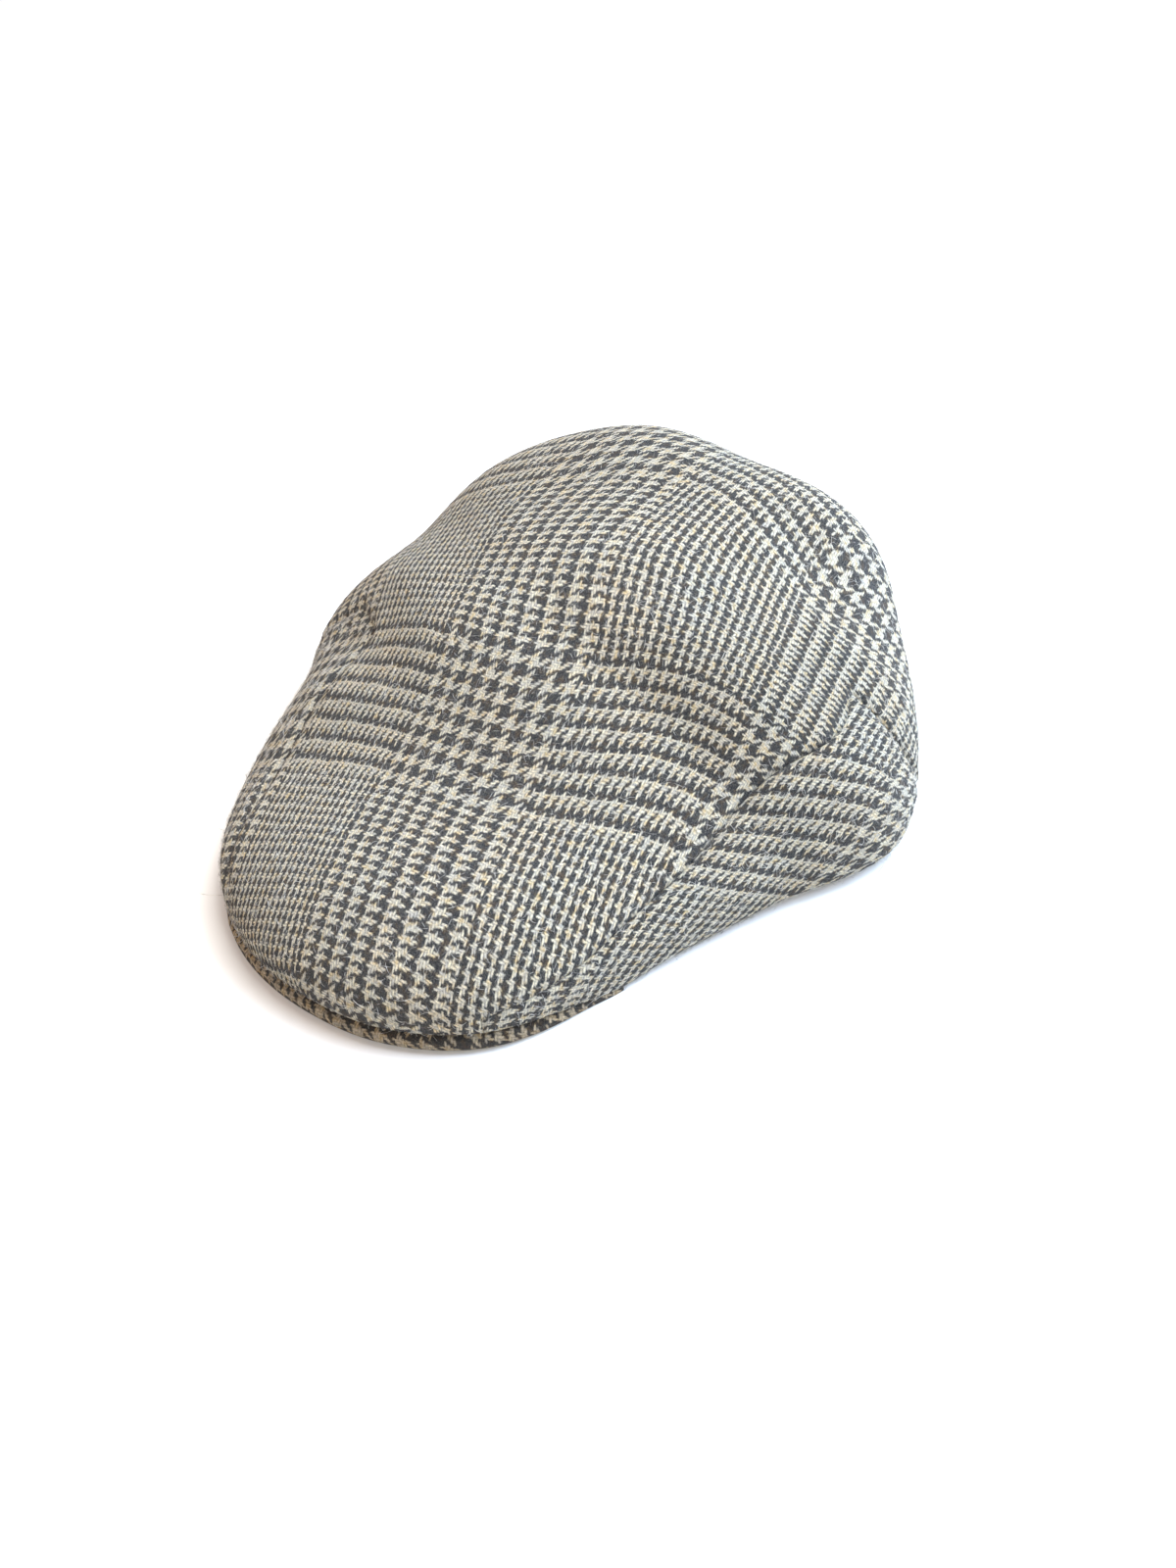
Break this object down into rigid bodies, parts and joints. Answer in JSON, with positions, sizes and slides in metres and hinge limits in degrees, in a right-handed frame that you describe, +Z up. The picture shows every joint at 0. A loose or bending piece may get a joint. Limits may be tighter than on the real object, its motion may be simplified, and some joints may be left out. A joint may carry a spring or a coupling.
{
  "type": "flat cap",
  "caption": "Soft woollen flat cap with a low rounded crown, a stiff cloth-covered peak and an open hollow for the head, lying on its rim.",
  "frame": {"origin": "middle of the cap's box in plan, on the surface that the cap rests on", "axes": "+Z up out of the crown, -Y towards the front of the peak, +X towards the wearer's left"},
  "size_m": [0.2206, 0.2468, 0.0775],
  "materials": {
    "check_top": "woollen twill",
    "check_side_left": "woollen twill",
    "check_side_right": "woollen twill",
    "check_peak": "woollen twill"
  },
  "bodies": {
    "root": {"top_panel": "check_top", "side_panel_left": "check_side_left", "side_panel_right": "check_side_right", "peak": "check_peak"}
  },
  "joints": []
}
